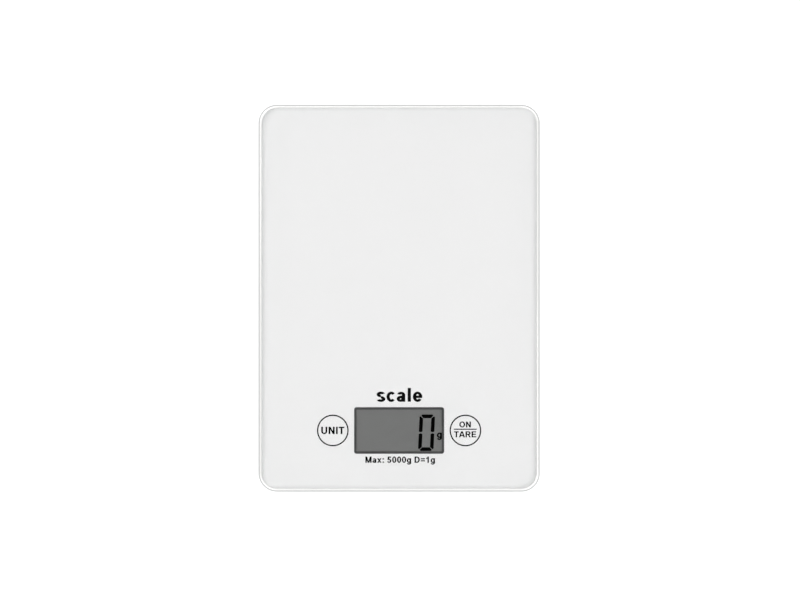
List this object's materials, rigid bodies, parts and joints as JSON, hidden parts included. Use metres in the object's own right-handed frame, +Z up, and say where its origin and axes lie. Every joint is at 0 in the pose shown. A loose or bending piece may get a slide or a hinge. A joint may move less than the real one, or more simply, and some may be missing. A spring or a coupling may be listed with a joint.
{
  "type": "kitchen scale",
  "caption": "Slim rectangular glass kitchen scale with a small front display, a touch key on each side of it and a foot under each corner.",
  "frame": {"origin": "on the table, under the middle of the glass platform", "axes": "+X to the right, +Y to the back along the long side and away from the display, +Z up"},
  "size_m": [0.16, 0.22, 0.02],
  "materials": {
    "platform_glass": "clear tempered glass with a pillowed polished rim",
    "print_ink": "white screen-printed ink seen through the glass",
    "tape_foam": "black acrylic foam tape",
    "housing_plastic": "fine-textured white moulded ABS",
    "display_glass": "thin display glass",
    "display_film": "neutral grey polarising film",
    "holder_plastic": "black moulded plastic",
    "connector_rubber": "layered conductive silicone rubber",
    "board_laminate": "green solder mask over glass-fibre laminate",
    "epoxy": "black potting resin",
    "component_ceramic": "ceramic chip components",
    "solder": "bright tin solder",
    "plated_steel": "bright nickel-plated steel",
    "cell_steel": "stamped and plated alloy steel",
    "seal_silicone": "white silicone sealant",
    "pad_rubber": "soft grey non-slip rubber",
    "battery_jacket": "printed film sleeve on a steel can",
    "lead_jacket_grey": "soft vinyl jacket",
    "lead_jacket_red": "soft vinyl jacket",
    "lead_jacket_black": "soft vinyl jacket"
  },
  "bodies": {
    "housing": {"back_print": "print_ink", "base_shell": "housing_plastic", "battery_cell_1": "battery_jacket", "battery_cell_2": "battery_jacket", "battery_lead_black": "lead_jacket_black", "battery_lead_red": "lead_jacket_red", "battery_spring_1": "plated_steel", "battery_spring_2": "plated_steel", "board_screws": "plated_steel", "bonding_tape": "tape_foam", "carrier_frame": "housing_plastic", "cell_carrier_back_left": "housing_plastic", "cell_carrier_back_right": "housing_plastic", "cell_carrier_front_left": "housing_plastic", "cell_carrier_front_right": "housing_plastic", "cell_lead_back_left": "lead_jacket_grey", "cell_lead_back_right": "lead_jacket_grey", "cell_lead_front_left": "lead_jacket_grey", "cell_lead_front_right": "lead_jacket_grey", "chip_blob": "epoxy", "chip_capacitors": "component_ceramic", "chip_resistors": "component_ceramic", "contact_bridge": "plated_steel", "contact_negative": "plated_steel", "contact_positive": "plated_steel", "crystal_can": "plated_steel", "gauge_seal_back_left": "seal_silicone", "gauge_seal_back_right": "seal_silicone", "gauge_seal_front_left": "seal_silicone", "gauge_seal_front_right": "seal_silicone", "glass_platform": "platform_glass", "lcd_front_glass": "display_glass", "lcd_holder": "holder_plastic", "lcd_polariser": "display_film", "lcd_rear_glass": "display_glass", "lcd_reflector": "display_film", "load_cell_back_left": "cell_steel", "load_cell_back_right": "cell_steel", "load_cell_front_left": "cell_steel", "load_cell_front_right": "cell_steel", "main_board": "board_laminate", "shell_screws": "plated_steel", "solder_joints": "solder", "touch_spring_tare": "plated_steel", "touch_spring_unit": "plated_steel", "zebra_strip": "connector_rubber"},
    "foot_front_left": {"foot_cup_front_left": "housing_plastic", "foot_pad_front_left": "pad_rubber"},
    "foot_front_right": {"foot_cup_front_right": "housing_plastic", "foot_pad_front_right": "pad_rubber"},
    "foot_back_left": {"foot_cup_back_left": "housing_plastic", "foot_pad_back_left": "pad_rubber"},
    "foot_back_right": {"foot_cup_back_right": "housing_plastic", "foot_pad_back_right": "pad_rubber"},
    "door": {"battery_door": "housing_plastic"}
  },
  "joints": [
    {"name": "foot_travel_front_left", "type": "slide", "parent": "housing", "child": "foot_front_left", "axis": [0, 0, 1], "range_m": [0, 0.0005], "stiffness_N_per_m": 24500, "deforming": ["load_cell_front_left"]},
    {"name": "foot_travel_front_right", "type": "slide", "parent": "housing", "child": "foot_front_right", "axis": [0, 0, 1], "range_m": [0, 0.0005], "stiffness_N_per_m": 24500, "deforming": ["load_cell_front_right"]},
    {"name": "foot_travel_back_left", "type": "slide", "parent": "housing", "child": "foot_back_left", "axis": [0, 0, 1], "range_m": [0, 0.0005], "stiffness_N_per_m": 24500, "deforming": ["load_cell_back_left"]},
    {"name": "foot_travel_back_right", "type": "slide", "parent": "housing", "child": "foot_back_right", "axis": [0, 0, 1], "range_m": [0, 0.0005], "stiffness_N_per_m": 24500, "deforming": ["load_cell_back_right"]},
    {"name": "battery_door_hinge", "type": "hinge", "parent": "housing", "child": "door", "pos_m": [0, 0.0294, 0.0036], "axis": [1, 0, 0], "range_deg": [0, 90]}
  ]
}
